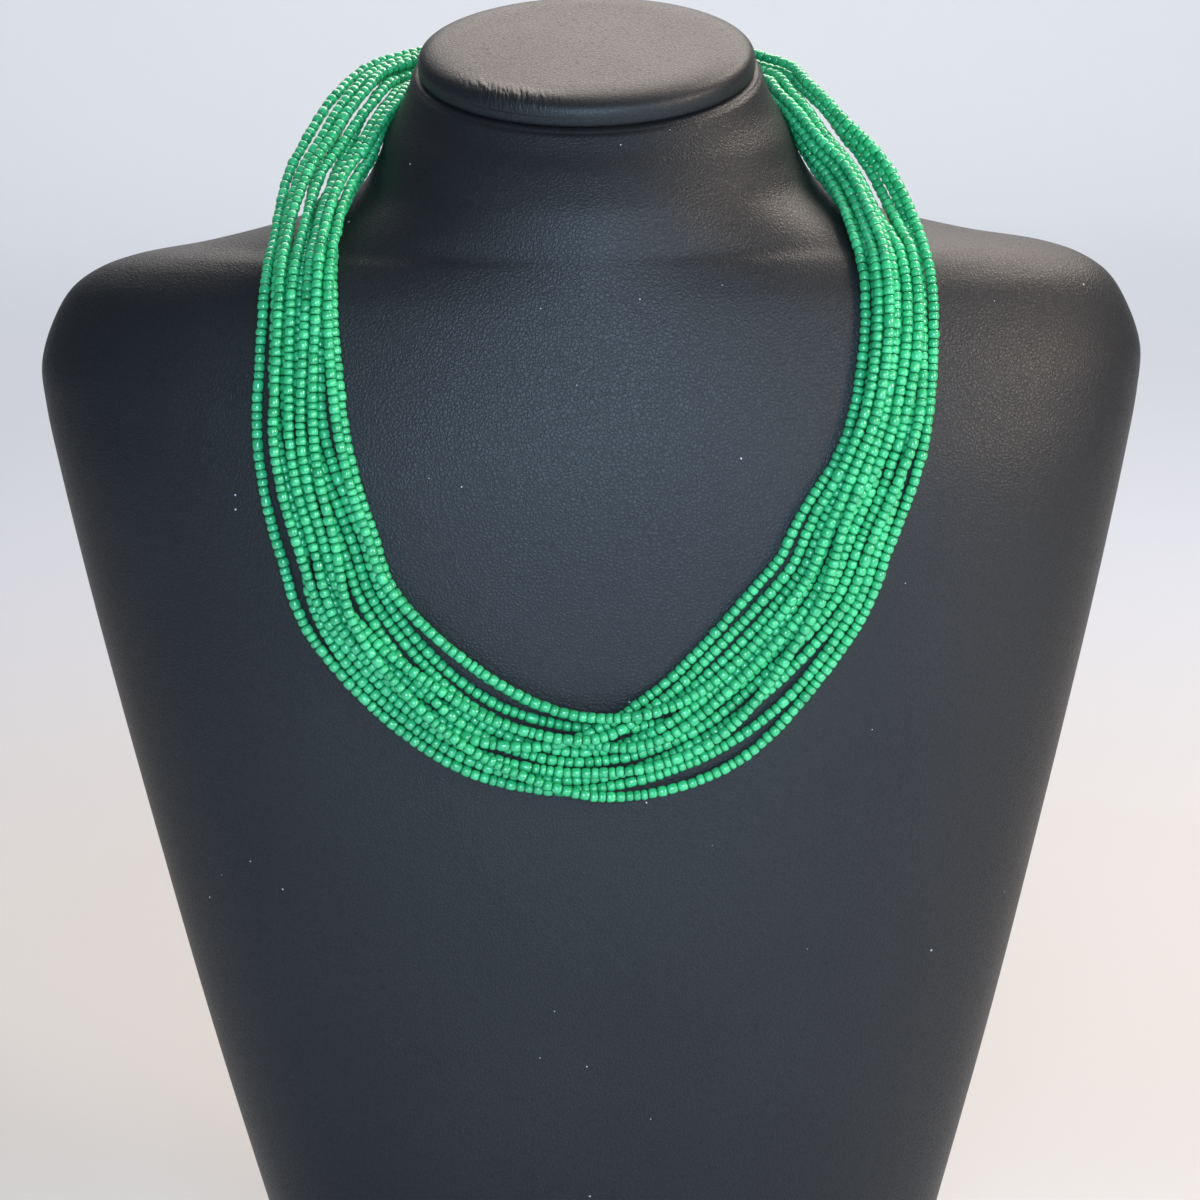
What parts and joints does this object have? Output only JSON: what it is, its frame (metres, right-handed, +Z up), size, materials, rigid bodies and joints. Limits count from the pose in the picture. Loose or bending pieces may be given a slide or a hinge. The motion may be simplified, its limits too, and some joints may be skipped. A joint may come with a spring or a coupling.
{
  "type": "multi strand necklace on neck bust",
  "caption": "Necklace of many green seed bead strands, closed by a plain clasp, laid over a padded neck bust with a tilted cap.",
  "frame": {"origin": "middle of the bust's foot, on the surface that it stands on", "axes": "+Z up; -Y is the front that the necklace shows; +X is to the right as the front is seen"},
  "size_m": [0.27, 0.1147, 0.3535],
  "materials": {
    "leatherette": "matte grained",
    "beads": "opaque, soft gloss",
    "clasp_metal": "polished"
  },
  "bodies": {
    "root": {"bust": "leatherette", "neck_cap": "leatherette", "clasp": "clasp_metal", "strand_01": "beads", "strand_02": "beads", "strand_03": "beads", "strand_04": "beads", "strand_05": "beads", "strand_06": "beads", "strand_07": "beads", "strand_08": "beads", "strand_09": "beads", "strand_10": "beads", "strand_11": "beads", "strand_12": "beads"}
  },
  "joints": []
}
